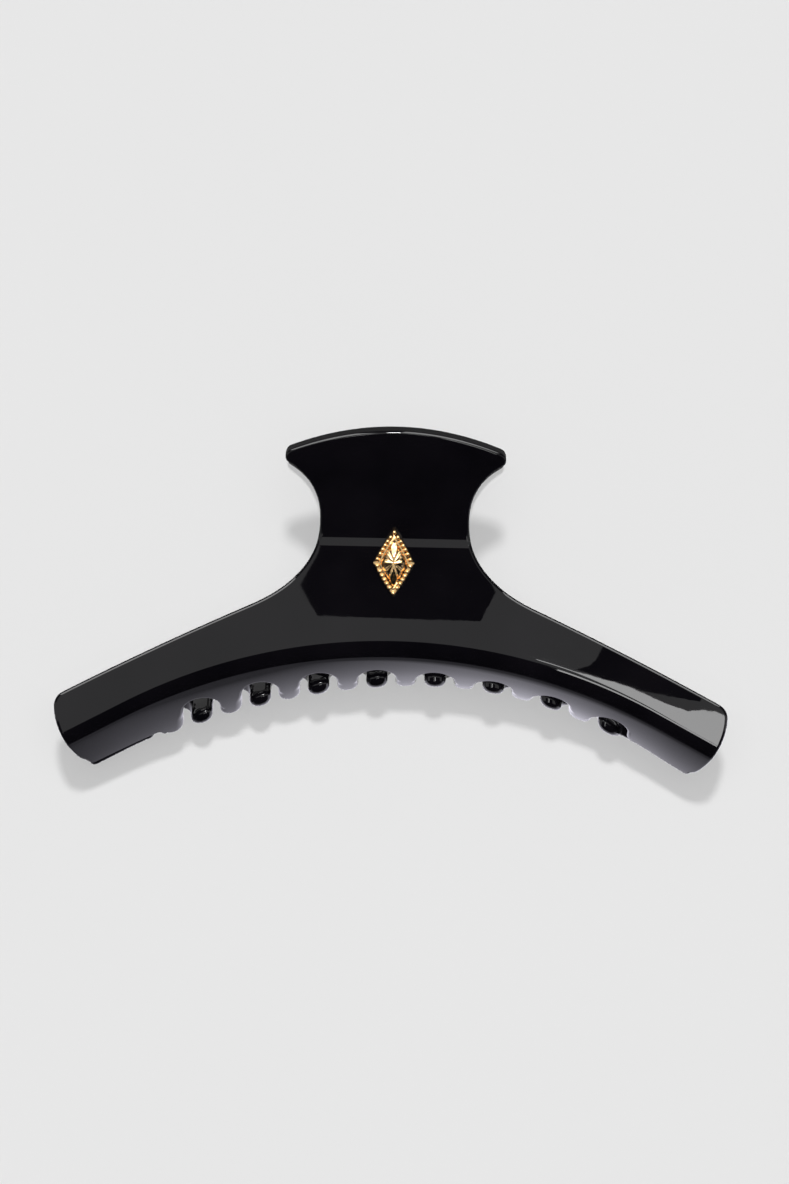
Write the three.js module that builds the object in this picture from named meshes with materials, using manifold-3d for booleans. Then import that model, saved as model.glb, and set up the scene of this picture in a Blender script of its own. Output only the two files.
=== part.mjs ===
// Large claw hair clip, closed: two hot-bent sheet jaws, a sprung hinge and a small metal stud.
// Millimetres. It is drawn upright: X runs along the clip, -Y is the decorated front, +Z the handles' end.
// At the end it is laid on its back, front up, with the handles towards +Y.
import * as THREE from 'three';
import { mergeVertices } from 'three/addons/utils/BufferGeometryUtils.js';
import Module from 'manifold-3d';

const wasm = await Module();
wasm.setup();

const DEG = Math.PI / 180;

// ---- Sheet and its bends -------------------------------------------------
const SHEET_T = 3.2;
const PLATE_Y = 11.5;
const EDGE_ROUND = 0.6;
const TOOTH_ROUND = 1.15;
const ARCH_TOP_Z = 26.4;
const ARCH_R = 110;
const ARCH_END_X = ARCH_R * Math.sin(28 * DEG);
const ARM_SLOPE = Math.tan(28 * DEG);
const LIP_BEND_R = 5.8;
const LIP_CURVE_R = 30.5;
const LIP_MID_DEG = 55;
const LIP_END_DEG = 47;
const LIP_UNEVEN_DEG = 8;
const LIP_SAG_DEG = 4.5;
const LIP_GAP = 0.15;
const CREASE_Z = 44;
const CREASE_R = 12;
const HANDLE_DEG = 22;
const LIE_DEG = 7.76;

// ---- Outline of the flat sheet -------------------------------------------
const WAIST_HALF = 14.4;
const WAIST_Z = 48;
const FLARE_A = 30;
const FLARE_B = 19;
const JOIN_X = 20.2;
const ARM_START_X = 27;
const ARM_START_Z = 32.5;
const ARM_TOP_SLOPE = 0.45;
const ARM_TOP_CURVE = 0.00106;
const END_CORNER = { x: 62.1, z: 12, r: 3 };
const END_X = 64;
const END_SKEW = 0.5;
const LIP_START_X = 46;
const HANDLE_ARC_R = 12.8;
const HANDLE_ARC_Z = 49.6;
const HANDLE_HALF = 21.8;
const HANDLE_TOP = 68.1;
const HANDLE_CROWN = 4.9;

// ---- Teeth -----------------------------------------------------------------
const PITCH = 11.3;
const TOOTH_W = 4.2;
const TOOTH_L = 13.4;
const GAP_BASE_L = 3.5;
const GAP_R = (PITCH - TOOTH_W) / 2;
const TOOTH_FIRST = -4;
const TOOTH_LAST = 3;

// ---- Hinge -----------------------------------------------------------------
const PIN_Z = 43;
const PIN_R = 1.0;
const PIN_HOLE_R = 1.06;
const PIN_HEAD_R = 1.7;
const PIN_HEAD_T = 0.6;
const LEAF_T = 0.8;
const LEAF_GAP = 0.05;
const LEAF_BOTTOM_Z = 33.4;
const LEAF_TOP_Z = 47.4;
const FRONT_LEAF_HALF = 7.1;
const BACK_LEAF_HALF = 5.9;
const EAR_R = 2.4;
const RIVET_X = 3.5;
const RIVET_Z = 36.3;
const RIVET_R = 0.9;
const RIVET_HOLE_R = 0.97;
const RIVET_DEEP = 2.0;

// ---- Spring ----------------------------------------------------------------
const WIRE_R = 0.5;
const COIL_R = 2.5;
const COIL_TURNS = 5;
const COIL_HALF = 3.2;
const LEG_LOW_Z = 1.6;
const LEG_TOP_Z = 4.2;

// ---- Stud ------------------------------------------------------------------
const STUD_Z = 40.8;
const STUD_HALF_W = 4.1;
const STUD_HALF_H = 6.6;
const STUD_BACK = 0.65;
const POST_R = 0.8;
const POST_HOLE_R = 0.87;
const POST_DEEP = 1.8;
const POST_DZ = 2.9;

function archZ(x) {
  const a = Math.abs(x);
  if (a <= ARCH_END_X) {
    return ARCH_TOP_Z - ARCH_R + Math.sqrt(ARCH_R * ARCH_R - a * a);
  }
  return archZ(ARCH_END_X) - (a - ARCH_END_X) * ARM_SLOPE;
}

// Angle that the tight bend turns through, before the lip's own slow curve takes over.
// Both lips are bent a little less on the clip's left than on its right.
function lipAngle(x, hand) {
  const reach = Math.min(1, Math.abs(x) / 57);
  const even = LIP_MID_DEG - (LIP_MID_DEG - LIP_END_DEG) * reach * reach;
  const uneven = LIP_UNEVEN_DEG * Math.sin(Math.PI * Math.sign(hand * x) * reach);
  const sag = hand < 0 && x > 0 ? LIP_SAG_DEG * reach * reach : 0;
  return (even + uneven - sag) * DEG;
}

function bendLength(x, hand) {
  return LIP_BEND_R * lipAngle(x, hand);
}

// Depth below the bend line at which a straight lip meets the mid-plane of the clip.
function lipDepth(x, hand) {
  const b = lipAngle(x, hand);
  const reach = LIP_CURVE_R * Math.cos(b) + LIP_BEND_R * (1 - Math.cos(b)) - PLATE_Y + LIP_GAP;
  const edge = Math.acos(reach / (LIP_CURVE_R - SHEET_T));
  return bendLength(x, hand) + LIP_CURVE_R * (edge - b);
}

// Maps a point of the flat sheet (x, z) at depth t under its outer face to its bent place.
function bentPoint(x, z, t, hand) {
  const below = archZ(x) - z;
  if (below > 0) {
    const full = lipAngle(x, hand);
    const a = Math.min(below / LIP_BEND_R, full);
    const b = a + Math.max(0, below - LIP_BEND_R * full) / LIP_CURVE_R;
    const in1 = LIP_BEND_R * (1 - Math.cos(a));
    const in2 = LIP_CURVE_R * (Math.cos(a) - Math.cos(b));
    const y = in1 + in2 + t * Math.cos(b);
    const down1 = LIP_BEND_R * Math.sin(a);
    const down2 = LIP_CURVE_R * (Math.sin(b) - Math.sin(a));
    const drop = down1 + down2 - t * Math.sin(b);
    return new THREE.Vector3(x, y - PLATE_Y, archZ(x) - drop);
  }
  const above = Math.max(0, z - CREASE_Z);
  const lean = HANDLE_DEG * DEG;
  const a = Math.min(above / CREASE_R, lean);
  const run = Math.max(0, above - CREASE_R * lean);
  const y = t * Math.cos(a) - CREASE_R * (1 - Math.cos(a)) - run * Math.sin(a);
  const rise = CREASE_R * Math.sin(a) + run * Math.cos(a) + t * Math.sin(a);
  return new THREE.Vector3(x, y - PLATE_Y, Math.min(z, CREASE_Z) + rise);
}

// Upper edge of the arm, from the waist flare out to the rounded end corner.
function armTopZ(x) {
  const a = Math.abs(x);
  if (a < ARM_START_X) {
    const c = 1 - (a - WAIST_HALF) / FLARE_A;
    return WAIST_Z - FLARE_B * Math.sqrt(1 - c * c);
  }
  const u = a - ARM_START_X;
  return ARM_START_Z - ARM_TOP_SLOPE * u - ARM_TOP_CURVE * u * u;
}

// Half width of the waist and handle at a height on the flat sheet.
function handleHalf(z) {
  if (z < WAIST_Z) {
    const s = (WAIST_Z - z) / FLARE_B;
    return WAIST_HALF + FLARE_A * (1 - Math.sqrt(1 - s * s));
  }
  const s = Math.min(1, Math.max(0, z - HANDLE_ARC_Z) / HANDLE_ARC_R);
  return Math.min(HANDLE_HALF, WAIST_HALF + HANDLE_ARC_R * (1 - Math.sqrt(1 - s * s)));
}

function handleTopZ(x) {
  const u = Math.abs(x) / HANDLE_HALF;
  return HANDLE_TOP - HANDLE_CROWN * u * u;
}

// One column of the sheet grid: where it meets the top edge, the bend line and the lower edge.
function column(bendX, lower, extra = {}) {
  return { bendX, topX: bendX, topZ: armTopZ(bendX), lower, ...extra };
}

// Follows a column down from the bend line to a given depth below that line.
function downColumn(bendX, depthOf) {
  const spread = Math.max(0, Math.abs(bendX) - LIP_START_X) / (END_X - LIP_START_X);
  const skew = END_SKEW * Math.sign(bendX) * spread;
  let x = bendX;
  let z = archZ(bendX);
  for (let i = 0; i < 12; i += 1) {
    z = archZ(x) - depthOf(x);
    x = bendX + skew * (z - archZ(bendX));
  }
  return [x, z];
}

function endColumns(sign, hand) {
  const c = END_CORNER;
  const list = [];
  for (const x of [49.5, 53, 56.5, 59.5]) {
    list.push(column(sign * x, (u) => lipDepth(u, hand)));
  }
  const corner = [[61, 62], [61.9, 41], [62.9, 20], [END_X, 0]];
  for (const [x, deg] of corner) {
    const topX = sign * (c.x + c.r * Math.cos(deg * DEG));
    const topZ = c.z + c.r * Math.sin(deg * DEG);
    const cut = x === END_X ? 1.5 : 0;
    list.push(column(sign * x, (u) => lipDepth(u, hand) - cut, { topX, topZ }));
  }
  return list;
}

// Columns over one rounded gap between two teeth, from tooth flank to tooth flank.
function gapColumns(centre, hand) {
  const list = [];
  const centreZ = archZ(centre) - bendLength(centre, hand) - GAP_BASE_L - GAP_R;
  for (let i = 0; i <= 6; i += 1) {
    const a = Math.PI * (1 - i / 6);
    const x = centre + GAP_R * Math.cos(a);
    const z = centreZ + GAP_R * Math.sin(a);
    list.push(column(x, (u) => archZ(u) - z));
  }
  return list;
}

// Closed sheet jaw: a grid of quads on the flat sheet, thickened, rounded at its edges and bent.
// hand = 1 puts the plain lip next to the last tooth on the left, -1 on the right.
function jawGeometry(hand) {
  const points = [];
  const quads = [];
  const rounds = [];
  const add = (x, z, round = EDGE_ROUND) => {
    points.push([x, z]);
    rounds.push(round);
    return points.length - 1;
  };

  const toLip = (u) => lipDepth(u, hand);
  const columns = endColumns(-1, hand).reverse();
  const teeth = [];
  const firstX = (TOOTH_FIRST + 0.25) * PITCH;
  columns.push(column(firstX - TOOTH_W / 2, toLip));
  teeth.push(columns.length - 1);
  for (let k = TOOTH_FIRST; k <= TOOTH_LAST; k += 1) {
    columns.push(...gapColumns((k + 0.75) * PITCH, hand));
    if (k < TOOTH_LAST) {
      teeth.push(columns.length - 1);
    }
  }
  columns.push(column((TOOTH_LAST + 0.75) * PITCH + GAP_R + 0.5, toLip));
  columns.push(...endColumns(1, hand));

  let joinLeft = 0;
  let joinRight = 0;
  columns.forEach((c, i) => {
    if (Math.abs(c.bendX + JOIN_X) < Math.abs(columns[joinLeft].bendX + JOIN_X)) {
      joinLeft = i;
    }
    if (Math.abs(c.bendX - JOIN_X) < Math.abs(columns[joinRight].bendX - JOIN_X)) {
      joinRight = i;
    }
  });
  const joinZ = armTopZ(JOIN_X);
  columns.forEach((c, i) => {
    if (i >= joinLeft && i <= joinRight) {
      const u = (i - joinLeft) / (joinRight - joinLeft);
      const inner = i > joinLeft && i < joinRight;
      c.topX = inner ? c.bendX : JOIN_X * Math.sign(u - 0.5);
      c.topZ = joinZ;
    }
  });

  const bendRows = 4;
  const grid = columns.map((c) => {
    const ids = [add(c.topX, c.topZ), add(c.bendX, archZ(c.bendX))];
    for (let k = 1; k <= bendRows; k += 1) {
      const [x, z] = downColumn(c.bendX, (u) => bendLength(u, hand) * k / bendRows);
      ids.push(add(x, z));
    }
    for (const share of [0.5, 1]) {
      const [x, z] = downColumn(c.bendX, (u) => bendLength(u, hand) * (1 - share) + c.lower(u) * share);
      ids.push(add(x, z));
    }
    return ids;
  });
  const rowCount = bendRows + 4;
  for (let i = 0; i + 1 < grid.length; i += 1) {
    for (let r = 0; r + 1 < rowCount; r += 1) {
      quads.push([grid[i][r], grid[i][r + 1], grid[i + 1][r + 1], grid[i + 1][r]]);
    }
  }

  const joined = columns.slice(joinLeft, joinRight + 1);
  let below = grid.slice(joinLeft, joinRight + 1).map((ids) => ids[0]);
  const heights = [40.3, CREASE_Z, 46.3, 48.6, 52, 55.5, 58.8, 61.1, 62.5];
  for (const z of heights) {
    const half = handleHalf(z);
    const row = joined.map((c) => add(c.topX * half / JOIN_X, z));
    for (let i = 0; i + 1 < row.length; i += 1) {
      quads.push([row[i], below[i], below[i + 1], row[i + 1]]);
    }
    below = row;
  }
  const crown = joined.map((c) => {
    const x = c.topX * (HANDLE_HALF - 1.2) / JOIN_X;
    return add(x, handleTopZ(x));
  });
  for (let i = 0; i + 1 < crown.length; i += 1) {
    quads.push([crown[i], below[i], below[i + 1], crown[i + 1]]);
  }

  for (const i of teeth) {
    const base = [grid[i][rowCount - 1], grid[i + 1][rowCount - 1]];
    const centre = (points[base[0]][0] + points[base[1]][0]) / 2;
    const tipZ = archZ(centre) - bendLength(centre, hand) - TOOTH_L;
    let above = base;
    for (const [share, up] of [[0.5, 4.6], [0.5, 1.7], [0.39, 0.55], [0.19, 0]]) {
      const half = share * TOOTH_W;
      const row = [add(centre - half, tipZ + up, TOOTH_ROUND), add(centre + half, tipZ + up, TOOTH_ROUND)];
      quads.push([above[0], row[0], row[1], above[1]]);
      above = row;
    }
  }
  return thicken(points, quads, rounds, hand);
}

// Turns the flat quads into a closed sheet: outer face, inner face and a chamfered edge all round.
function thicken(points, quads, rounds, hand) {
  const edgeNext = new Map();
  const directed = new Set();
  for (const q of quads) {
    q.forEach((a, k) => directed.add(`${a}>${q[(k + 1) % 4]}`));
  }
  for (const key of directed) {
    const [a, b] = key.split('>').map(Number);
    if (!directed.has(`${b}>${a}`)) {
      edgeNext.set(a, b);
    }
  }
  const edgePrev = new Map([...edgeNext].map(([a, b]) => [b, a]));
  const inset = points.map(([x, z], i) => {
    if (!edgeNext.has(i)) {
      return [x, z];
    }
    const p = points[edgePrev.get(i)];
    const n = points[edgeNext.get(i)];
    const length = Math.hypot(n[0] - p[0], n[1] - p[1]);
    const side = [-(n[1] - p[1]) / length, (n[0] - p[0]) / length];
    return [x + side[0] * rounds[i], z + side[1] * rounds[i]];
  });

  const positions = [];
  const indices = [];
  const place = ([x, z], t) => {
    const v = bentPoint(x, z, t, hand);
    positions.push(hand * v.x, hand * v.y, v.z);
    return positions.length / 3 - 1;
  };
  const outer = inset.map((p) => place(p, 0));
  const inner = inset.map((p) => place(p, SHEET_T));
  const rims = new Map();
  for (const i of edgeNext.keys()) {
    rims.set(i, [place(points[i], rounds[i]), place(points[i], SHEET_T - rounds[i])]);
  }
  const quad = (a, b, c, d) => indices.push(a, b, c, a, c, d);
  for (const [a, b, c, d] of quads) {
    quad(outer[a], outer[b], outer[c], outer[d]);
    quad(inner[d], inner[c], inner[b], inner[a]);
  }
  for (const [a, b] of edgeNext) {
    const [ra, sa] = rims.get(a);
    const [rb, sb] = rims.get(b);
    quad(outer[b], outer[a], ra, rb);
    quad(rb, ra, sa, sb);
    quad(sb, sa, inner[a], inner[b]);
  }
  const geometry = new THREE.BufferGeometry();
  geometry.setAttribute('position', new THREE.Float32BufferAttribute(positions, 3));
  geometry.setIndex(indices);
  return geometry;
}

function clean(geometry) {
  geometry.deleteAttribute('normal');
  geometry.deleteAttribute('uv');
  return mergeVertices(geometry, 1e-4);
}

function toManifold(geometry) {
  const merged = clean(geometry);
  return new wasm.Manifold(new wasm.Mesh({
    numProp: 3,
    vertProperties: new Float32Array(merged.attributes.position.array),
    triVerts: new Uint32Array(merged.index.array),
  }));
}

function fromManifold(solid) {
  const mesh = solid.getMesh();
  const geometry = new THREE.BufferGeometry();
  geometry.setAttribute('position', new THREE.BufferAttribute(mesh.vertProperties, 3));
  geometry.setIndex(new THREE.BufferAttribute(mesh.triVerts, 1));
  return geometry;
}

function subtractAll(geometry, tools) {
  let solid = toManifold(geometry);
  for (const tool of tools) {
    solid = solid.subtract(toManifold(tool));
  }
  return fromManifold(solid);
}

// Cylinder along Y between two depths.
function rodY(radius, x, z, y0, y1, sides = 16) {
  const rod = new THREE.CylinderGeometry(radius, radius, Math.abs(y1 - y0), sides);
  return rod.translate(x, (y0 + y1) / 2, z);
}

const group = new THREE.Group();
group.name = 'claw_clip';

function addMesh(name, geometry, color, roughness, metalness) {
  const material = new THREE.MeshStandardMaterial({ color, roughness, metalness });
  const mesh = new THREE.Mesh(clean(geometry), material);
  mesh.name = name;
  group.add(mesh);
}

// ---- Jaws ------------------------------------------------------------------
const innerY = PLATE_Y - SHEET_T;
for (const [name, side] of [['front_jaw', -1], ['back_jaw', 1]]) {
  const hand = -side;
  const tools = [];
  for (const x of [-RIVET_X, RIVET_X]) {
    tools.push(rodY(RIVET_HOLE_R, x, RIVET_Z, side * (innerY - 1), side * (innerY + RIVET_DEEP + 0.2)));
  }
  if (side < 0) {
    for (const z of [STUD_Z - POST_DZ, STUD_Z + POST_DZ]) {
      tools.push(rodY(POST_HOLE_R, 0, z, -PLATE_Y - 1, -PLATE_Y + POST_DEEP + 0.2));
    }
  }
  addMesh(name, subtractAll(jawGeometry(hand), tools), 0x0a090b, 0.12, 0);
}

// ---- Hinge leaves ----------------------------------------------------------
function leafGeometry(side, half) {
  const y0 = innerY - LEAF_GAP - LEAF_T;
  const plate = new THREE.Shape();
  const r = 1.5;
  plate.moveTo(-half + r, LEAF_BOTTOM_Z);
  plate.lineTo(half - r, LEAF_BOTTOM_Z);
  plate.absarc(half - r, LEAF_BOTTOM_Z + r, r, -Math.PI / 2, 0, false);
  plate.lineTo(half, LEAF_TOP_Z - r);
  plate.absarc(half - r, LEAF_TOP_Z - r, r, 0, Math.PI / 2, false);
  plate.lineTo(-half + r, LEAF_TOP_Z);
  plate.absarc(-half + r, LEAF_TOP_Z - r, r, Math.PI / 2, Math.PI, false);
  plate.lineTo(-half, LEAF_BOTTOM_Z + r);
  plate.absarc(-half + r, LEAF_BOTTOM_Z + r, r, Math.PI, 1.5 * Math.PI, false);
  for (const x of [-RIVET_X, RIVET_X]) {
    const hole = new THREE.Path();
    hole.absarc(x, RIVET_Z, RIVET_HOLE_R, 0, 2 * Math.PI, true);
    plate.holes.push(hole);
  }
  const sheet = new THREE.ExtrudeGeometry(plate, { depth: LEAF_T, bevelEnabled: false, curveSegments: 4 });
  sheet.rotateX(Math.PI / 2).translate(0, y0 + LEAF_T, 0);

  const ear = new THREE.Shape();
  ear.moveTo(y0 + LEAF_T / 2, PIN_Z - 4.4);
  ear.lineTo(y0 + LEAF_T / 2, PIN_Z + 2.9);
  ear.lineTo(2.2, PIN_Z + EAR_R);
  ear.absarc(0, PIN_Z, EAR_R, Math.PI / 2, 1.5 * Math.PI, false);
  ear.lineTo(2.2, PIN_Z - EAR_R);
  const eye = new THREE.Path();
  eye.absarc(0, PIN_Z, PIN_HOLE_R, 0, 2 * Math.PI, true);
  ear.holes.push(eye);
  let solid = toManifold(sheet);
  for (const x of [-half, half - LEAF_T]) {
    const web = new THREE.ExtrudeGeometry(ear, { depth: LEAF_T, bevelEnabled: false, curveSegments: 10 });
    web.applyMatrix4(new THREE.Matrix4().set(0, 0, 1, x, 1, 0, 0, 0, 0, 1, 0, 0, 0, 0, 0, 1));
    solid = solid.add(toManifold(web));
  }
  const geometry = fromManifold(solid);
  return side > 0 ? geometry : geometry.rotateZ(Math.PI);
}
addMesh('front_hinge_leaf', leafGeometry(-1, FRONT_LEAF_HALF), 0xb9bcc0, 0.3, 1);
addMesh('back_hinge_leaf', leafGeometry(1, BACK_LEAF_HALF), 0xb9bcc0, 0.3, 1);

// ---- Rivets ----------------------------------------------------------------
for (const [name, side] of [['front', -1], ['back', 1]]) {
  for (const [where, x] of [['left', -RIVET_X], ['right', RIVET_X]]) {
    const profile = [
      [0, 0], [RIVET_R, 0], [RIVET_R, RIVET_DEEP + LEAF_GAP + LEAF_T + 0.03],
      [1.75, RIVET_DEEP + LEAF_GAP + LEAF_T + 0.03], [1.6, 3.3], [1.1, 3.6], [0, 3.75],
    ].map(([r, h]) => new THREE.Vector2(r, h));
    const rivet = new THREE.LatheGeometry(profile, 16);
    if (side > 0) {
      rivet.rotateX(Math.PI);
    }
    rivet.translate(x, side * (innerY + RIVET_DEEP), RIVET_Z);
    addMesh(`${name}_rivet_${where}`, rivet, 0xc6c8cb, 0.25, 1);
  }
}

// ---- Pin with a rolled head at each end --------------------------------------
{
  const inner = FRONT_LEAF_HALF + 0.1;
  const outer = inner + PIN_HEAD_T;
  const profile = [
    [0, -outer], [PIN_HEAD_R - 0.3, -outer], [PIN_HEAD_R, -outer + 0.25], [PIN_HEAD_R, -inner], [PIN_R, -inner],
    [PIN_R, inner], [PIN_HEAD_R, inner], [PIN_HEAD_R, outer - 0.25], [PIN_HEAD_R - 0.3, outer], [0, outer],
  ].map(([r, h]) => new THREE.Vector2(r, h));
  const pin = new THREE.LatheGeometry(profile, 20);
  pin.rotateZ(-Math.PI / 2).translate(0, 0, PIN_Z);
  addMesh('hinge_pin', pin, 0xc9cbce, 0.2, 1);
}

// ---- Torsion spring: close-wound coil on the pin, one leg up each leaf --------
{
  const legY = innerY - LEAF_GAP - LEAF_T - WIRE_R - 0.04;
  const reach = Math.hypot(legY, LEG_LOW_Z);
  const start = Math.atan2(LEG_LOW_Z, -legY) + Math.acos(COIL_R / reach);
  const finish = Math.PI - start + 2 * Math.PI * (COIL_TURNS + 1);
  const path = [];
  const leg = (side) => [
    new THREE.Vector3(side * COIL_HALF, side * legY, PIN_Z + LEG_TOP_Z),
    new THREE.Vector3(side * COIL_HALF, side * legY, PIN_Z + LEG_LOW_Z + 0.9),
    new THREE.Vector3(side * COIL_HALF, side * (legY - 0.25), PIN_Z + LEG_LOW_Z + 0.1),
    new THREE.Vector3(side * COIL_HALF, side * (legY - 2.4), PIN_Z + LEG_LOW_Z - 1.9),
  ];
  path.push(...leg(-1));
  const count = 72;
  for (let i = 0; i <= count; i += 1) {
    const a = start + (finish - start) * i / count;
    const x = -COIL_HALF + 2 * COIL_HALF * i / count;
    path.push(new THREE.Vector3(x, COIL_R * Math.cos(a), PIN_Z + COIL_R * Math.sin(a)));
  }
  path.push(...leg(1).reverse());
  const wire = new THREE.Shape();
  wire.absarc(0, 0, WIRE_R, 0, 2 * Math.PI, false);
  const spring = new THREE.ExtrudeGeometry(wire, {
    steps: 120, curveSegments: 4, bevelEnabled: false, extrudePath: new THREE.CatmullRomCurve3(path),
  });
  addMesh('torsion_spring', spring, 0xa9acb0, 0.3, 1);
}

// ---- Stud: faceted lozenge in a beaded rim, on two posts ----------------------
{
  const lozenge = (w, h, back, front, taper) => {
    const corners = [];
    for (let i = 0; i < 16; i += 1) {
      const a = i / 16 * 2 * Math.PI;
      const lean = Math.abs(Math.cos(a)) + Math.abs(Math.sin(a));
      const soft = Math.pow(lean, -0.8);
      corners.push([w * Math.cos(a) * soft, h * Math.sin(a) * soft]);
    }
    const positions = [];
    for (const [depth, scale] of [[back, 1], [front, taper]]) {
      for (const [x, z] of corners) {
        positions.push(x * scale, -PLATE_Y - depth, STUD_Z + z * scale);
      }
    }
    positions.push(0, -PLATE_Y - back, STUD_Z, 0, -PLATE_Y - front - 0.35, STUD_Z);
    const indices = [];
    for (let i = 0; i < 16; i += 1) {
      const j = (i + 1) % 16;
      indices.push(i, j, 16 + j, i, 16 + j, 16 + i);
      indices.push(32, j, i, 33, 16 + i, 16 + j);
    }
    const geometry = new THREE.BufferGeometry();
    geometry.setAttribute('position', new THREE.Float32BufferAttribute(positions, 3));
    geometry.setIndex(indices);
    return geometry;
  };
  let solid = toManifold(lozenge(STUD_HALF_W, STUD_HALF_H, STUD_BACK, STUD_BACK + 0.9, 0.92));
  solid = solid.add(toManifold(lozenge(2.5, 4.5, STUD_BACK + 0.4, STUD_BACK + 2.0, 0.42)));
  for (const z of [STUD_Z - POST_DZ, STUD_Z + POST_DZ]) {
    const post = rodY(POST_R, 0, z, -PLATE_Y - STUD_BACK - 0.3, -PLATE_Y + POST_DEEP, 16);
    solid = solid.add(toManifold(post));
  }
  addMesh('front_stud', fromManifold(solid), 0xe0b15c, 0.18, 1);
}

// ---- Resting pose: on its back, on the back handle's edge and the back arms' end corners ----
group.rotation.x = -(90 - LIE_DEG) * DEG;
group.updateMatrixWorld(true);
const box = new THREE.Box3().setFromObject(group, true);
group.position.set(-(box.min.x + box.max.x) / 2, -(box.min.y + box.max.y) / 2, -box.min.z);

export default group;
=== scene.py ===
# Looks for the large claw hair clip. Every length in the shape code is in millimetres, in the clip's own
# drawing axes (x along the clip, -y out of the decorated front, +z towards the handles), and is turned
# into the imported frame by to_row().
import math

import bmesh
import bpy
import numpy as np
from mathutils import Matrix, Vector


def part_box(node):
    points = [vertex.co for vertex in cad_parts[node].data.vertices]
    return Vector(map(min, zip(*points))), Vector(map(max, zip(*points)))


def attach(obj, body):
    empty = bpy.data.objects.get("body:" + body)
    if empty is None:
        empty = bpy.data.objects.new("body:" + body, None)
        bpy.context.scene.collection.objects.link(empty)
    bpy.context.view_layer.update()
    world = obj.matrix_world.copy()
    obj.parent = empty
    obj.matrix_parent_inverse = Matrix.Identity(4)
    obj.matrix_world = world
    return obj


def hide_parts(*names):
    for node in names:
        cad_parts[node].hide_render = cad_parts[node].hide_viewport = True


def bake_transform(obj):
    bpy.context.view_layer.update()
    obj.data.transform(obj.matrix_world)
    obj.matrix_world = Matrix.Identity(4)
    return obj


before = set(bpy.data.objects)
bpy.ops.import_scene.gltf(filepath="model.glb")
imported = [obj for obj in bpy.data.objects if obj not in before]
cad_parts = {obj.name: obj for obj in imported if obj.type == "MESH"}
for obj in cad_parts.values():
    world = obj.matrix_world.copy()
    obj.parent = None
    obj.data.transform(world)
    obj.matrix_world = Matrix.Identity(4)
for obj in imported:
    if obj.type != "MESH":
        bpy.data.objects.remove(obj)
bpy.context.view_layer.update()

MM = 0.001
scene = bpy.context.scene

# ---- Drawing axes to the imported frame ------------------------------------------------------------
PLATE_TILT_DEG = 7.76      # the front plate's tilt off level, as the clip lies on its back
LIE = math.radians(90 - PLATE_TILT_DEG)
PIN_Z = 43.0
pin_low, pin_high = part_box("hinge_pin")
PIN = (pin_low + pin_high) / 2
UP = Vector((0, math.sin(LIE), math.cos(LIE)))        # the drawing's +z: up in the picture
OUT = Vector((0, -math.cos(LIE), math.sin(LIE)))      # the drawing's -y: out of the front plate


def to_row(points):
    """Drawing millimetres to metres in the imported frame."""
    p = np.asarray(points, float)
    c, s = math.cos(LIE), math.sin(LIE)
    z = p[:, 2] - PIN_Z
    row = np.stack([p[:, 0], c * p[:, 1] + s * z, -s * p[:, 1] + c * z], axis=1) * MM
    return row + np.array(PIN)


def turn(normals):
    """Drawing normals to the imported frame."""
    n = np.asarray(normals, float)
    c, s = math.cos(LIE), math.sin(LIE)
    return np.stack([n[:, 0], c * n[:, 1] + s * n[:, 2], -s * n[:, 1] + c * n[:, 2]], axis=1)


def spot(x, y, z):
    """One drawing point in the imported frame."""
    return Vector(to_row([[x, y, z]])[0])


# ---- Mesh helpers --------------------------------------------------------------------------------
def make_object(name, data):
    obj = bpy.data.objects.new(name, data)
    scene.collection.objects.link(obj)
    return obj


def mesh_object(name, points, faces, normals=None):
    """Smooth-shaded object from drawing points; normals, if given, are exact normals per vertex."""
    mesh = bpy.data.meshes.new(name)
    mesh.from_pydata(to_row(points).tolist(), [], faces)
    mesh.polygons.foreach_set("use_smooth", [True] * len(mesh.polygons))
    if normals is not None:
        mesh.normals_split_custom_set_from_vertices(turn(normals).tolist())
    mesh.update()
    return make_object(name, mesh)


class Shell:
    """Collects several closed bodies into one mesh."""

    def __init__(self):
        self.points = []
        self.faces = []

    def add(self, points, faces):
        base = len(self.points)
        self.points.extend(np.asarray(points, float).tolist())
        self.faces.extend([tuple(base + i for i in f) for f in faces])

    def build(self, name):
        return mesh_object(name, self.points, self.faces)


def ring_faces(rings, count):
    """Quads between successive rings of `count` points, with one flat face at each end."""
    faces = []
    for r in range(rings - 1):
        for i in range(count):
            j = (i + 1) % count
            faces.append((r * count + i, r * count + j, (r + 1) * count + j, (r + 1) * count + i))
    faces.append(tuple(reversed(range(count))))
    faces.append(tuple((rings - 1) * count + i for i in range(count)))
    return faces


def lathe(profile, sides):
    """Rings of (radius, height) about +z; the first and last rings are closed with a flat face."""
    points = []
    for radius, height in profile:
        for i in range(sides):
            a = 2 * math.pi * i / sides
            points.append((radius * math.cos(a), radius * math.sin(a), height))
    return np.array(points), ring_faces(len(profile), sides)


def arc(cx, cy, r, deg0, deg1, steps):
    """Points of a circular arc, both ends included."""
    angles = [math.radians(deg0 + (deg1 - deg0) * k / steps) for k in range(steps + 1)]
    return [(cx + r * math.cos(a), cy + r * math.sin(a)) for a in angles]


def circle(cx, cy, r, steps=40):
    return arc(cx, cy, r, 0, 360 - 360 / steps, steps - 1)


def ease(v):
    """Smooth step from 0 to 1."""
    return v * v * (3 - 2 * v)


def weld(obj, angle):
    """Joins doubled points and shades edges sharper than `angle` degrees hard."""
    bm = bmesh.new()
    bm.from_mesh(obj.data)
    bmesh.ops.remove_doubles(bm, verts=bm.verts, dist=1e-6)
    bmesh.ops.recalc_face_normals(bm, faces=bm.faces)
    bm.to_mesh(obj.data)
    bm.free()
    obj.data.set_sharp_from_angle(angle=math.radians(angle))
    return obj


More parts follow.
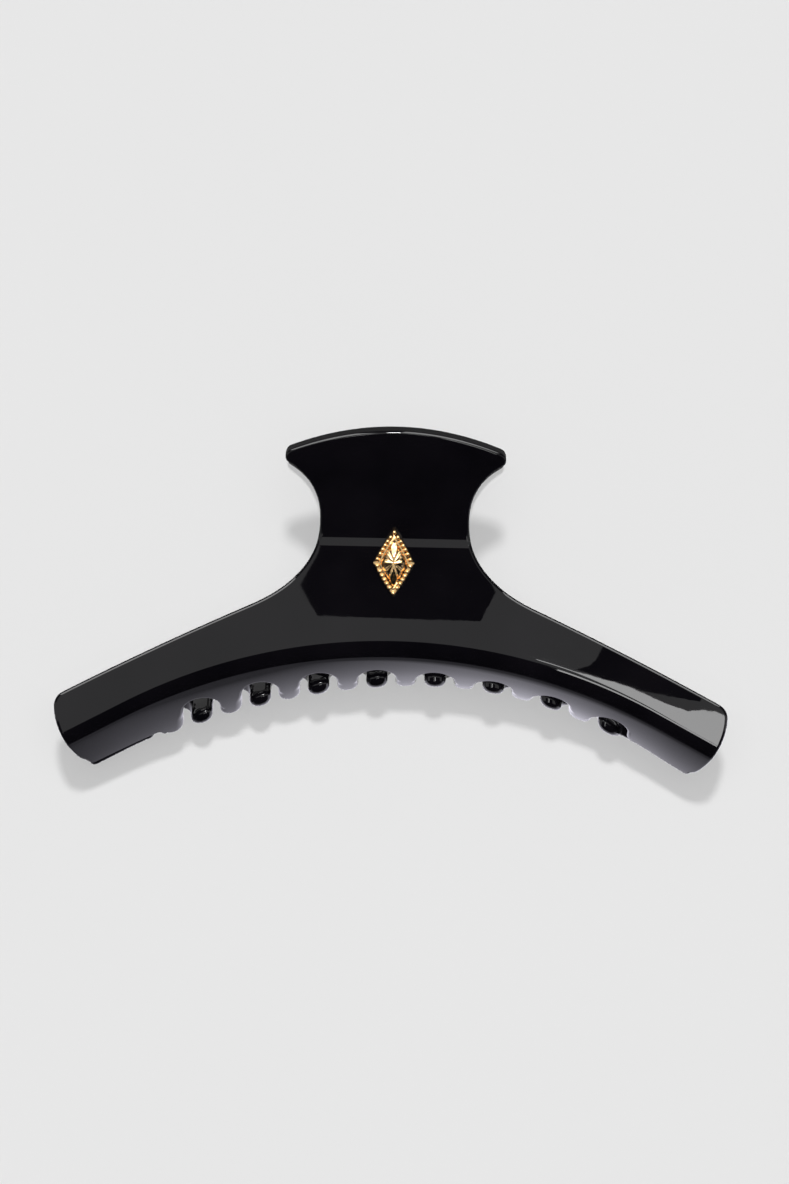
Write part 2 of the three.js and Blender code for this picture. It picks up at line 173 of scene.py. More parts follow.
# ---- The bent sheet: thickness, plate, lip bend, tooth curve and the crease under the handle --------
SHEET_T = 3.2
PLATE_Y = 11.5
EDGE_ROUND = 0.6
TOOTH_ROUND = 1.3
ARCH_TOP_Z = 26.4
ARCH_R = 110.0
ARCH_END_X = ARCH_R * math.sin(math.radians(28))
ARM_SLOPE = math.tan(math.radians(28))
LIP_BEND_R = 5.8
LIP_CURVE_R = 30.5
LIP_MID_DEG = 55.0
LIP_END_DEG = 47.0
LIP_UNEVEN_DEG = 8.0
LIP_SAG_DEG = 4.5
LIP_FULL_X = 57.0
LIP_EASE_FROM, LIP_EASE_TO = 0.9, 1.1
LIP_GAP = 0.15
CREASE_Z = 44.0
CREASE_R = 12.0
HANDLE_DEG = 22.0

# Outline of the flat sheet: waist, arms, their ends and the handle.
WAIST_HALF = 14.4
WAIST_Z = 48.0
FLARE_A = 30.0
FLARE_B = 19.0
JOIN_X = 20.2
ARM_START_X = 27.0
ARM_START_Z = 32.5
ARM_TOP_SLOPE = 0.45
ARM_TOP_CURVE = 0.00106
CORNER_X, CORNER_Z, CORNER_R = 62.1, 12.0, 3.0
END_X = 64.0
END_SLANT = 0.44
END_SLANT_TOP = 5.05
END_CURVE_ABOVE, END_CURVE_BELOW = 0.0436, 0.006
END_SQUEEZE = 0.945
LIP_START_X = 46.0
PLAIN_END_X = 61.4
FILLET_R = 0.7
LAST_GAP_CORNER_R = 1.0
END_CORNER_R = 1.1
HANDLE_ARC_R = 12.8
HANDLE_ARC_Z = 49.6
HANDLE_ARC_DEG = 60.0
HANDLE_TIP_R = 1.15
HANDLE_TIP_DEG = 63.0
HANDLE_HALF = 21.8
HANDLE_CROWN = 4.9
CROWN_FROM_Z, CROWN_OVER = 52.0, 9.0

# Teeth: the front jaw's stand a quarter pitch to the right of whole pitches.
PITCH = 11.3
TOOTH_W = 4.2
TOOTH_L = 13.4
GAP_BASE_L = 3.5
GAP_R = (PITCH - TOOTH_W) / 2
TOOTH_FIRST = -4
TOOTH_LAST = 3


def arch_z(x):
    """Height of the arched line where the lip's bend begins."""
    a = np.abs(x)
    inner = ARCH_TOP_Z - ARCH_R + np.sqrt(np.maximum(ARCH_R ** 2 - np.minimum(a, ARCH_END_X) ** 2, 0))
    return inner - np.maximum(a - ARCH_END_X, 0) * ARM_SLOPE


def lip_angle(x, hand):
    """Bend angle of the lip; hand is 1 for the front jaw and -1 for the back one."""
    a = np.abs(x) / LIP_FULL_X
    late = np.clip(a, LIP_EASE_FROM, LIP_EASE_TO) - LIP_EASE_FROM
    reach = np.minimum(1, a - late ** 2 / (2 * (LIP_EASE_TO - LIP_EASE_FROM)))
    even = LIP_MID_DEG - (LIP_MID_DEG - LIP_END_DEG) * reach ** 2
    uneven = LIP_UNEVEN_DEG * np.sin(np.pi * np.sign(hand * x) * reach)
    sag = np.where((hand < 0) & (x > 0), LIP_SAG_DEG * reach ** 2, 0)
    return np.radians(even + uneven - sag)


def bend_length(x, hand):
    """Length of sheet in the lip's tight bend."""
    return LIP_BEND_R * lip_angle(x, hand)


def lip_depth(x, hand):
    """Depth below the bend line at which the lip meets the clip's mid-plane."""
    b = lip_angle(x, hand)
    reach = LIP_CURVE_R * np.cos(b) + LIP_BEND_R * (1 - np.cos(b)) - PLATE_Y + LIP_GAP
    return bend_length(x, hand) + LIP_CURVE_R * (np.arccos(reach / (LIP_CURVE_R - SHEET_T)) - b)


def bent(flat, hand):
    """Flat sheet points (x, z, depth under the outer face) to drawing points."""
    x, z, t = flat[:, 0], flat[:, 1], flat[:, 2]
    below = arch_z(x) - z
    full = lip_angle(x, hand)
    a = np.clip(below / LIP_BEND_R, 0, full)
    b = a + np.maximum(0, below - LIP_BEND_R * full) / LIP_CURVE_R
    y = LIP_BEND_R * (1 - np.cos(a)) + LIP_CURVE_R * (np.cos(a) - np.cos(b)) + t * np.cos(b)
    drop = LIP_BEND_R * np.sin(a) + LIP_CURVE_R * (np.sin(b) - np.sin(a)) - t * np.sin(b)
    up = arch_z(x) - drop - np.minimum(below, 0)
    above = np.maximum(0, z - CREASE_Z)
    lean = math.radians(HANDLE_DEG)
    c = np.minimum(above / CREASE_R, lean)
    run = np.maximum(0, above - CREASE_R * lean)
    y = y + t * (np.cos(c) - 1) - CREASE_R * (1 - np.cos(c)) - run * np.sin(c)
    up = up - above + CREASE_R * np.sin(c) + run * np.cos(c) + t * np.sin(c)
    return np.stack([hand * x, hand * (y - PLATE_Y), up], axis=1)


def bent_normals(flat, flat_normals, hand):
    """Exact normals: the flat ones carried through the bend by its local derivative."""
    small = 1e-4
    cols = []
    for k in range(3):
        step = np.zeros(3)
        step[k] = small
        cols.append((bent(flat + step, hand) - bent(flat - step, hand)) / (2 * small))
    slopes = np.stack(cols, axis=2)
    n = np.einsum("nij,nj->ni", np.linalg.inv(slopes).transpose(0, 2, 1), flat_normals)
    return n / np.linalg.norm(n, axis=1, keepdims=True)


# ---- Outline of the flat sheet, drawn where the edge rounding starts -------------------------------
def arm_top(x):
    """Height of the arm's upper edge, waist curve included."""
    a = abs(x)
    if a < ARM_START_X:
        c = 1 - (a - WAIST_HALF) / FLARE_A
        return WAIST_Z - FLARE_B * math.sqrt(1 - c * c)
    u = a - ARM_START_X
    return ARM_START_Z - ARM_TOP_SLOPE * u - ARM_TOP_CURVE * u * u


def inset_arm_top(x):
    """Point on the arm's upper edge, moved in by the edge rounding, above sheet position x."""
    small = 0.01
    p = abs(x)
    for _ in range(6):
        slope = (arm_top(p + small) - arm_top(p - small)) / (2 * small)
        length = math.hypot(1, slope)
        p = abs(x) - EDGE_ROUND * slope / length
    return math.copysign(p + EDGE_ROUND * slope / length, x), arm_top(p) - EDGE_ROUND / length


def flare_half(z):
    """Half width of the flare from the waist down to the arms."""
    s = (WAIST_Z - z) / FLARE_B
    return WAIST_HALF + FLARE_A * (1 - math.sqrt(1 - s * s))


def end_shift(s):
    """Sideways run of the clip's end edge at a height s above the bend line."""
    s = np.minimum(s, END_SLANT_TOP)
    return END_SLANT * s - np.where(s > 0, END_CURVE_ABOVE, END_CURVE_BELOW) * s * s


def side_profile():
    """Inset outline of the right side of waist and handle, from the arm up to the start of the crown."""
    r = EDGE_ROUND
    steps = 14
    raw = []
    for k in range(steps + 1):
        z = arm_top(JOIN_X) + (WAIST_Z - arm_top(JOIN_X)) * k / steps
        raw.append((flare_half(z), z))
    raw.append((WAIST_HALF, (WAIST_Z + HANDLE_ARC_Z) / 2))
    raw.append((WAIST_HALF, HANDLE_ARC_Z))
    for k in range(1, steps + 1):
        a = math.radians(HANDLE_ARC_DEG * k / steps)
        half = WAIST_HALF + HANDLE_ARC_R * (1 - math.cos(a))
        raw.append((half, HANDLE_ARC_Z + HANDLE_ARC_R * math.sin(a)))
    inset = []
    for k, (x, z) in enumerate(raw):
        before = raw[max(k - 1, 0)]
        after = raw[min(k + 1, len(raw) - 1)]
        dx, dz = after[0] - before[0], after[1] - before[1]
        length = math.hypot(dx, dz)
        inset.append((x - r * dz / length, z + r * dx / length))
    # A full round tip joins the flare to the crown.
    x, z = inset[-1]
    start_deg = HANDLE_ARC_DEG - 90
    centre_x = x - HANDLE_TIP_R * math.cos(math.radians(start_deg))
    centre_z = z - HANDLE_TIP_R * math.sin(math.radians(start_deg))
    return inset + arc(centre_x, centre_z, HANDLE_TIP_R, start_deg, HANDLE_TIP_DEG, 12)[1:]


def build_jaw(hand):
    """Flat grid of the jaw: points (x, z), quads, and the rounding radius at each point."""
    points, quads, rounds = [], [], []

    def add(x, z, r=EDGE_ROUND):
        points.append((float(x), float(z)))
        rounds.append(r)
        return len(points) - 1

    r = EDGE_ROUND
    last = END_X - r
    gap_steps = 16
    turn_steps = 6
    lip_rows = 4
    tip_rows = 6
    tooth_rows = 8
    left_space, right_space = 0.5, 0.6
    level_in = 2.5

    # Columns: sheet position at the bend line, and either the height or the depth of the level row, where
    # the lip's lower part starts. The columns of a tooth get theirs from the gaps beside it.
    columns = []
    tooth_at = {}

    def gap_bottom(centre):
        return arch_z(centre) - bend_length(centre, hand) - GAP_BASE_L - GAP_R

    def gap(k):
        centre = (k + 0.75) * PITCH
        zc = gap_bottom(centre)
        for i in range(gap_steps + 1):
            a = math.pi * (1 - i / gap_steps)
            x, z = centre + (GAP_R + r) * math.cos(a), zc + (GAP_R + r) * math.sin(a)
            columns.append({"x": x, "level": z})

    def plain(xs, depth, kind):
        for step, x in enumerate(xs):
            columns.append({"x": x, "depth": depth, "kind": kind, "step": step})

    # Where the outermost columns meet the end's rounded upper corner, in degrees up from level.
    corner_angles = [62, 54, 46, 38, 30, 22, 14, 7, 0]
    corner_x = [last - END_SQUEEZE * (CORNER_R - r) * (1 - math.cos(math.radians(d)))
                for d in corner_angles]

    first_flank = (TOOTH_FIRST + 0.25) * PITCH - TOOTH_W / 2 + r
    fillet_x = first_flank - FILLET_R - r
    left_depth = arch_z(first_flank + level_in) - gap_bottom((TOOTH_FIRST + 0.75) * PITCH)
    quarter = [math.radians(90 * i / turn_steps) for i in range(turn_steps + 1)]
    plain([-x for x in reversed(corner_x)], left_depth, "end")
    plain(np.linspace(-PLAIN_END_X, fillet_x - left_space, 16), left_depth, "lip")
    plain([fillet_x + (FILLET_R + r) * math.cos(a) for a in reversed(quarter)], left_depth, "fillet")
    tooth_u = [-0.72, -0.38, 0, 0.38, 0.72]
    base_half = TOOTH_W / 2 - r
    for k in range(TOOTH_FIRST, TOOTH_LAST + 1):
        tooth_at[k] = len(columns)
        columns.extend({"x": (k + 0.25) * PITCH + u * base_half} for u in tooth_u)
        gap(k)
    last_gap_end = len(columns) - 1
    right_flank = (TOOTH_LAST + 0.75) * PITCH + GAP_R + r
    right_corner = right_flank + LAST_GAP_CORNER_R
    right_depth = arch_z(right_flank) - gap_bottom((TOOTH_LAST + 0.75) * PITCH)
    plain([right_corner - LAST_GAP_CORNER_R * math.cos(a) for a in quarter[1:]], right_depth, "turn")
    plain(np.linspace(right_corner + right_space, PLAIN_END_X, 14), right_depth, "lip")
    plain(corner_x, right_depth, "end")

    count = len(columns)
    bend_x = np.array([c["x"] for c in columns])
    share = np.clip((np.abs(bend_x) - LIP_START_X) / (last - LIP_START_X), 0, 1)
    sign = np.sign(bend_x)
    base_z = arch_z(bend_x)

    def walk(depth):
        """Follows every column to a depth (array) below the bend line."""
        x = bend_x.copy()
        z = base_z - depth
        for _ in range(30):
            x = bend_x + sign * share * end_shift(z - base_z)
            z = arch_z(x) - depth
        return x, z

    # Level row: gap arcs, straight levels under the plain lips, and lines across the teeth.
    level = np.array([c.get("level", z - c.get("depth", 0)) for c, z in zip(columns, base_z)])
    for i in tooth_at.values():
        a, b = i - 1, i + len(tooth_u)
        u = (bend_x[i:b] - bend_x[a]) / (bend_x[b] - bend_x[a])
        level[i:b] = level[a] * (1 - u) + level[b] * u
    level_depth = base_z - level

    # Top points of every column.
    top = []
    for i, c in enumerate(columns):
        if c.get("kind") == "end":
            k = min(i, count - 1 - i)
            d = math.radians(corner_angles[len(corner_angles) - 1 - k])
            top.append((sign[i] * (CORNER_X + (CORNER_R - r) * math.cos(d)),
                        CORNER_Z + (CORNER_R - r) * math.sin(d)))
        else:
            x = bend_x[i]
            for _ in range(8):
                px, pz = inset_arm_top(x if abs(x) > JOIN_X else math.copysign(JOIN_X, x))
                x = bend_x[i] + sign[i] * share[i] * float(end_shift(pz - base_z[i]))
            top.append((px, pz))
    side = side_profile()
    join_half, join_z = side[0]
    left = int(np.argmin(np.abs(bend_x + join_half)))
    right = int(np.argmin(np.abs(bend_x - join_half)))
    for i in range(left, right + 1):
        top[i] = (bend_x[i], join_z)
    top[left] = (-join_half, join_z)
    top[right] = (join_half, join_z)

    # Rows of the grid: plate, tight bend, and the lip down to the level row.
    top_x, top_z = np.array(top).T
    grid = []
    bend_rows = 12
    level_rows = 5
    top_run = bend_x + sign * share * end_shift(top_z - base_z)
    for v in (0, 0.25, 0.5, 0.75):
        z = top_z * (1 - v) + base_z * v
        x = bend_x + sign * share * end_shift(z - base_z) + (top_x - top_run) * (1 - v)
        grid.append([add(px, pz) for px, pz in zip(x, z)])
    full = bend_length(bend_x, hand)
    for k in range(bend_rows + 1):
        x, z = walk(full * k / bend_rows)
        grid.append([add(px, pz) for px, pz in zip(x, z)])
    for k in range(1, level_rows + 1):
        x, z = walk(full + (level_depth - full) * k / level_rows)
        if k == level_rows:
            for i, c in enumerate(columns):
                if "level" in c:
                    x[i], z[i] = bend_x[i], c["level"]
        grid.append([add(px, pz) for px, pz in zip(x, z)])
    for a, b in zip(grid, grid[1:]):
        for i in range(count - 1):
            quads.append((a[i], b[i], b[i + 1], a[i + 1]))

    # Waist and handle, on the joined columns.
    u = top_x[left:right + 1] / join_half
    lower = grid[0][left:right + 1]
    for half, z in side[1:]:
        weight = min(1, max(0, (z - CROWN_FROM_Z) / CROWN_OVER)) ** 2
        xs = u * half
        fall = HANDLE_CROWN * ((half / HANDLE_HALF) ** 2 - (xs / HANDLE_HALF) ** 2)
        row = [add(x, zz) for x, zz in zip(xs, z + weight * fall)]
        for i in range(len(row) - 1):
            quads.append((row[i], lower[i], lower[i + 1], row[i + 1]))
        lower = row

    # Lower part of the sheet: teeth and plain lips, below the level row.
    base = grid[-1]

    def drape(first, final, bottoms, point_at, rows):
        """Rows from the level row down to given bottom points, for the columns first..final."""
        above = base[first:final + 1]
        for k in range(1, rows + 1):
            v = k / rows
            row = []
            for j, i in enumerate(range(first, final + 1)):
                row.append(add(*point_at(v, *points[base[i]], *bottoms[j])))
            for j in range(len(row) - 1):
                quads.append((above[j], row[j], row[j + 1], above[j + 1]))
            above = row

    def lip_edge():
        """Bottom points of the plain lips, with a rounded corner at each end of the clip."""
        edge_x, edge_z = walk(lip_depth(bend_x, hand) - r)
        out = np.maximum(0, np.abs(bend_x) - (last - END_CORNER_R))
        cut = END_CORNER_R - np.sqrt(np.maximum(0, END_CORNER_R ** 2 - out ** 2))
        return edge_x, edge_z + cut

    def tooth_shape(k):
        """First and last column of tooth k, its bottom points, and the rule for the points between."""
        centre = (k + 0.25) * PITCH
        tip = arch_z(centre) - bend_length(centre, hand) - TOOTH_L
        tip_r = TOOTH_W / 2 - TOOTH_ROUND
        n = len(tooth_u) + 1
        angles = [math.pi * j / n for j in range(n + 1)]
        bottoms = [(centre - tip_r * math.cos(a), tip + TOOTH_W / 2 - tip_r * math.sin(a)) for a in angles]

        def tooth_point(v, x0, z0, x1, z1):
            rad = EDGE_ROUND + (TOOTH_ROUND - EDGE_ROUND) * ease(min(1, 2 * v))
            start = (x0 - centre) / base_half
            end = (x1 - centre) / tip_r
            x = centre + (TOOTH_W / 2 - rad) * (start + (end - start) * v)
            return x, z0 + (z1 - z0) * v, rad

        first = tooth_at[k] - 1
        return first, first + n, bottoms, tooth_point

    for k in range(TOOTH_FIRST + 1, TOOTH_LAST + 1):
        drape(*tooth_shape(k), tooth_rows)

    # Left: plain lip, fillet and the first tooth, which shares its rows with the plain lip beside it.
    first, final, bottoms, tooth_point = tooth_shape(TOOTH_FIRST)
    edge_x, edge_z = lip_edge()
    fillet_z = float(arch_z(fillet_x) - lip_depth(fillet_x, hand)) - FILLET_R
    lip_bottoms = []
    for i in range(first + 1):
        if columns[i].get("kind") == "fillet":
            a = quarter[turn_steps - columns[i]["step"]]
            lip_bottoms.append((fillet_x + (FILLET_R + r) * math.cos(a),
                                fillet_z + (FILLET_R + r) * math.sin(a)))
        else:
            lip_bottoms.append((edge_x[i], edge_z[i]))
    above = base[0:first + 1]
    left_chain = [base[first]]
    for k in range(1, lip_rows + 1):
        v = k / lip_rows
        row = []
        for i in range(first + 1):
            x0, z0 = points[base[i]]
            x1, z1 = lip_bottoms[i]
            row.append(add(x0 + (x1 - x0) * v, z0 + (z1 - z0) * v))
        for j in range(len(row) - 1):
            quads.append((above[j], row[j], row[j + 1], above[j + 1]))
        above = row
        left_chain.append(row[-1])
    # The tooth hangs from the lip's last column on its left and from the gap's edge on its right.
    above = base[first:final + 1]
    n = final - first
    total = lip_rows + tip_rows
    chain_z = points[left_chain[-1]][1]
    for k in range(1, total + 1):
        if k <= lip_rows:
            row = [left_chain[k]]
        else:
            w = (k - lip_rows) / tip_rows
            rad = EDGE_ROUND + (TOOTH_ROUND - EDGE_ROUND) * ease(w)
            x = (TOOTH_FIRST + 0.25) * PITCH - (TOOTH_W / 2 - rad)
            row = [add(x, chain_z + (bottoms[0][1] - chain_z) * w, rad)]
        for j in range(1, n + 1):
            x, z, rad = tooth_point(k / total, *points[base[first + j]], *bottoms[j])
            if k <= lip_rows:
                z += (points[left_chain[k]][1] - z) * (1 - j / n)
            row.append(add(x, z, rad))
        for j in range(n):
            quads.append((above[j], row[j], row[j + 1], above[j + 1]))
        above = row

    # Right: plain lip with a rounded corner beside the last gap.
    corner_z = float(arch_z(right_corner) - lip_depth(right_corner, hand)) + r + LAST_GAP_CORNER_R
    bottoms = [(right_flank, corner_z)]
    for i in range(last_gap_end + 1, count):
        if columns[i]["kind"] == "turn":
            a = quarter[columns[i]["step"] + 1]
            bottoms.append((right_corner - LAST_GAP_CORNER_R * math.cos(a),
                            corner_z - LAST_GAP_CORNER_R * math.sin(a)))
        else:
            bottoms.append((edge_x[i], edge_z[i]))

    def straight_point(v, x0, z0, x1, z1):
        return x0 + (x1 - x0) * v, z0 + (z1 - z0) * v, EDGE_ROUND

    drape(last_gap_end, count - 1, bottoms, straight_point, lip_rows)
    return points, quads, rounds


def jaw_object(name, hand):
    """The jaw's flat grid given its thickness and rounded rim, then bent to shape."""
    flat, quads, rounds = build_jaw(hand)
    directed = set()
    for q in quads:
        for k in range(4):
            directed.add((q[k], q[(k + 1) % 4]))
    onward = {a: b for a, b in directed if (b, a) not in directed}
    back = {b: a for a, b in onward.items()}

    pts, nrm, faces = [], [], []

    def put(x, z, t, n):
        pts.append((x, z, t))
        nrm.append(n)
        return len(pts) - 1

    outer = [put(x, z, 0, (0, 0, -1)) for x, z in flat]
    inner = [put(x, z, SHEET_T, (0, 0, 1)) for x, z in flat]
    for a, b, c, d in quads:
        faces.append((outer[a], outer[b], outer[c], outer[d]))
        faces.append((inner[d], inner[c], inner[b], inner[a]))
    round_steps = 5
    rims = {}
    for i in onward:
        x, z = flat[i]
        px, pz = flat[back[i]]
        qx, qz = flat[onward[i]]
        l1 = math.hypot(x - px, z - pz)
        l2 = math.hypot(qx - x, qz - z)
        tx = (x - px) / l1 * l2 + (qx - x) / l2 * l1
        tz = (z - pz) / l1 * l2 + (qz - z) / l2 * l1
        length = math.hypot(tx, tz)
        ox, oz = tz / length, -tx / length
        rad = rounds[i]
        chain = [outer[i]]
        for k in range(1, round_steps + 1):
            a = math.pi / 2 * k / round_steps
            s, c = math.sin(a), math.cos(a)
            chain.append(put(x + ox * rad * s, z + oz * rad * s, rad * (1 - c), (ox * s, oz * s, -c)))
        for k in range(round_steps, 0, -1):
            a = math.pi / 2 * k / round_steps
            s, c = math.sin(a), math.cos(a)
            depth = SHEET_T - rad * (1 - c)
            chain.append(put(x + ox * rad * s, z + oz * rad * s, depth, (ox * s, oz * s, c)))
        chain.append(inner[i])
        rims[i] = chain
    for a, b in onward.items():
        ca, cb = rims[a], rims[b]
        for k in range(len(ca) - 1):
            faces.append((cb[k], ca[k], ca[k + 1], cb[k + 1]))
    pts = np.array(pts)
    nrm = np.array(nrm, float)
    return mesh_object(name, bent(pts, hand), faces, bent_normals(pts, nrm, hand))


# ---- Materials -------------------------------------------------------------------------------------
def new_material(name):
    """Principled material with object coordinates, in metres, for its patterns."""
    mat = bpy.data.materials.new(name)
    mat.use_nodes = True
    nodes, links = mat.node_tree.nodes, mat.node_tree.links
    nodes.clear()
    out = nodes.new("ShaderNodeOutputMaterial")
    shader = nodes.new("ShaderNodeBsdfPrincipled")
    links.new(shader.outputs[0], out.inputs[0])
    coords = nodes.new("ShaderNodeTexCoord")
    return mat, nodes, links, shader, coords.outputs["Object"]


def noise(nodes, links, coords, scale, detail=2.0, rough=0.5, stretch=None):
    if stretch is not None:
        mapping = nodes.new("ShaderNodeMapping")
        mapping.inputs["Scale"].default_value = stretch
        links.new(coords, mapping.inputs["Vector"])
        coords = mapping.outputs[0]
    node = nodes.new("ShaderNodeTexNoise")
    node.inputs["Scale"].default_value = scale
    node.inputs["Detail"].default_value = detail
    node.inputs["Roughness"].default_value = rough
    links.new(coords, node.inputs["Vector"])
    return node.outputs["Fac"]


def ramp(nodes, links, factor, low, high, start=0.3, end=0.7):
    """Value from low to high as the factor goes from start to end."""
    node = nodes.new("ShaderNodeMapRange")
    node.inputs["From Min"].default_value = start
    node.inputs["From Max"].default_value = end
    node.inputs["To Min"].default_value = low
    node.inputs["To Max"].default_value = high
    links.new(factor, node.inputs["Value"])
    return node.outputs[0]


def mix_color(nodes, links, factor, low, high):
    node = nodes.new("ShaderNodeMix")
    node.data_type = "RGBA"
    node.inputs[6].default_value = (*low, 1)
    node.inputs[7].default_value = (*high, 1)
    links.new(factor, node.inputs[0])
    return node.outputs[2]


def bump(nodes, links, height, distance, strength, normal=None):
    node = nodes.new("ShaderNodeBump")
    node.inputs["Distance"].default_value = distance
    node.inputs["Strength"].default_value = strength
    links.new(height, node.inputs["Height"])
    if normal is not None:
        links.new(normal, node.inputs["Normal"])
    return node.outputs[0]


def multiply(nodes, links, a, b):
    node = nodes.new("ShaderNodeMath")
    node.operation = "MULTIPLY"
    links.new(a, node.inputs[0])
    links.new(b, node.inputs[1])
    return node.outputs[0]


def acetate():
    """Polished black sheet: faint colour clouds, buffing smears, a slow waviness and fine polish marks."""
    mat, nodes, links, shader, coords = new_material("black_acetate")
    cloud = ramp(nodes, links, noise(nodes, links, coords, 70, 3), 0, 1)
    black = mix_color(nodes, links, cloud, (0.0022, 0.0020, 0.0030), (0.0046, 0.0040, 0.0056))
    links.new(black, shader.inputs["Base Color"])
    smear = noise(nodes, links, coords, 55, 4, 0.6, (1, 2.2, 1))
    links.new(ramp(nodes, links, smear, 0.002, 0.014), shader.inputs["Roughness"])
    wave = noise(nodes, links, coords, 26, 1)
    fine = noise(nodes, links, coords, 420, 2)
    soft = bump(nodes, links, wave, 0.00009, 0.10)
    links.new(bump(nodes, links, fine, 0.000001, 0.15, soft), shader.inputs["Normal"])
    shader.inputs["IOR"].default_value = 1.5
    return mat


def metal(name, dark, light, rough, scale, brush=None):
    """Metal with an uneven tint and a grain, which `brush` stretches into strokes."""
    mat, nodes, links, shader, coords = new_material(name)
    tint = ramp(nodes, links, noise(nodes, links, coords, scale * 0.35, 3), 0, 1)
    links.new(mix_color(nodes, links, tint, dark, light), shader.inputs["Base Color"])
    grain = noise(nodes, links, coords, scale, 4, 0.6, brush)
    links.new(ramp(nodes, links, grain, rough[0], rough[1]), shader.inputs["Roughness"])
    links.new(bump(nodes, links, grain, 0.000004, 0.5), shader.inputs["Normal"])
    shader.inputs["Metallic"].default_value = 1.0
    return mat


ACETATE = acetate()
LEAF_STEEL = metal("brushed_nickel", (0.50, 0.50, 0.51), (0.68, 0.68, 0.69), (0.22, 0.38), 900,
                   brush=(1, 14, 14))
BRIGHT_STEEL = metal("bright_nickel", (0.60, 0.60, 0.61), (0.74, 0.74, 0.75), (0.10, 0.22), 1200)
WIRE_STEEL = metal("spring_wire", (0.44, 0.44, 0.46), (0.62, 0.62, 0.63), (0.20, 0.34), 1600,
                   brush=(6, 1, 1))
GOLD = metal("pale_gold", (0.80, 0.52, 0.24), (0.95, 0.68, 0.36), (0.06, 0.16), 700)


def finish_piece(obj, material, body, nodes):
    """Gives a piece its material and body and hides the CAD nodes it stands for; a blended piece has no
    body of its own.
    """
    obj.data.materials.append(material)
    if body is not None:
        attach(obj, body)
    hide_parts(*nodes)
    return obj


# ---- Jaws ------------------------------------------------------------------------------------------
finish_piece(jaw_object("front_jaw_sheet", 1), ACETATE, "front_half", ["front_jaw"])
finish_piece(jaw_object("back_jaw_sheet", -1), ACETATE, "back_half", ["back_jaw"])

# ---- Hinge leaves ------------------------------------------------------------------------------------
INNER_Y = PLATE_Y - SHEET_T
LEAF_T = 0.8
LEAF_GAP = 0.05
LEAF_BOTTOM_Z, LEAF_TOP_Z = 33.4, 47.4
LEAF_CORNER_R = 1.5
FRONT_LEAF_HALF, BACK_LEAF_HALF = 7.1, 5.9
RIVET_X, RIVET_Z, RIVET_HOLE_R = 3.5, 36.3, 0.97
EAR_R = 2.4
EAR_FOOT_LOW, EAR_FOOT_HIGH = 4.4, 2.9
EAR_NECK_Y = 2.2
PIN_HOLE_R = 1.06
SOFT_EDGE = 0.12


def plate_body(shell, outline, holes, place, thickness):
    """Flat plate with rounded edges and holes; place() maps (u, v, depth) to the drawing."""
    curve = bpy.data.curves.new("stamping", "CURVE")
    curve.dimensions = "2D"
    curve.fill_mode = "BOTH"
    curve.extrude = thickness / 2 - SOFT_EDGE
    curve.bevel_depth = SOFT_EDGE
    curve.bevel_resolution = 2
    curve.offset = -SOFT_EDGE
    for loop in [outline] + holes:
        spline = curve.splines.new("POLY")
        spline.points.add(len(loop) - 1)
        for point, (u, v) in zip(spline.points, loop):
            point.co = (u, v, 0, 1)
        spline.use_cyclic_u = True
    obj = make_object("stamping", curve)
    bpy.context.view_layer.update()
    depsgraph = bpy.context.evaluated_depsgraph_get()
    mesh = bpy.data.meshes.new_from_object(obj.evaluated_get(depsgraph))
    points = [place(v.co.x, v.co.y, v.co.z + thickness / 2) for v in mesh.vertices]
    shell.add(points, [tuple(p.vertices) for p in mesh.polygons])
    bpy.data.objects.remove(obj)
    bpy.data.curves.remove(curve)
    bpy.data.meshes.remove(mesh)


def leaf(name, side, half):
    """Stamped leaf with two ears; side is -1 for the front leaf and 1 for the back one."""
    shell = Shell()
    y0 = INNER_Y - LEAF_GAP - LEAF_T
    r = LEAF_CORNER_R
    outline = (arc(half - r, LEAF_BOTTOM_Z + r, r, -90, 0, 8)
               + arc(half - r, LEAF_TOP_Z - r, r, 0, 90, 8)
               + arc(-half + r, LEAF_TOP_Z - r, r, 90, 180, 8)
               + arc(-half + r, LEAF_BOTTOM_Z + r, r, 180, 270, 8))
    holes = [circle(x, RIVET_Z, RIVET_HOLE_R, 32) for x in (-RIVET_X, RIVET_X)]

    def on_plate(u, v, depth):
        return side * u, side * (y0 + LEAF_T - depth), v

    plate_body(shell, outline, holes, on_plate, LEAF_T)
    foot_y = y0 + LEAF_T / 2
    ear = ([(EAR_NECK_Y, PIN_Z - EAR_R)]
           + arc(0, PIN_Z, EAR_R, 90, 270, 28)[::-1]
           + [(EAR_NECK_Y, PIN_Z + EAR_R), (foot_y, PIN_Z + EAR_FOOT_HIGH), (foot_y, PIN_Z - EAR_FOOT_LOW)])
    for x in (-half, half - LEAF_T):
        def on_ear(u, v, depth, x=x):
            return side * (x + depth), side * u, v

        plate_body(shell, ear, [circle(0, PIN_Z, PIN_HOLE_R)], on_ear, LEAF_T)
    return weld(shell.build(name), 30)


finish_piece(leaf("front_leaf", -1, FRONT_LEAF_HALF), LEAF_STEEL, "front_half", ["front_hinge_leaf"])
finish_piece(leaf("back_leaf", 1, BACK_LEAF_HALF), LEAF_STEEL, "back_half", ["back_hinge_leaf"])

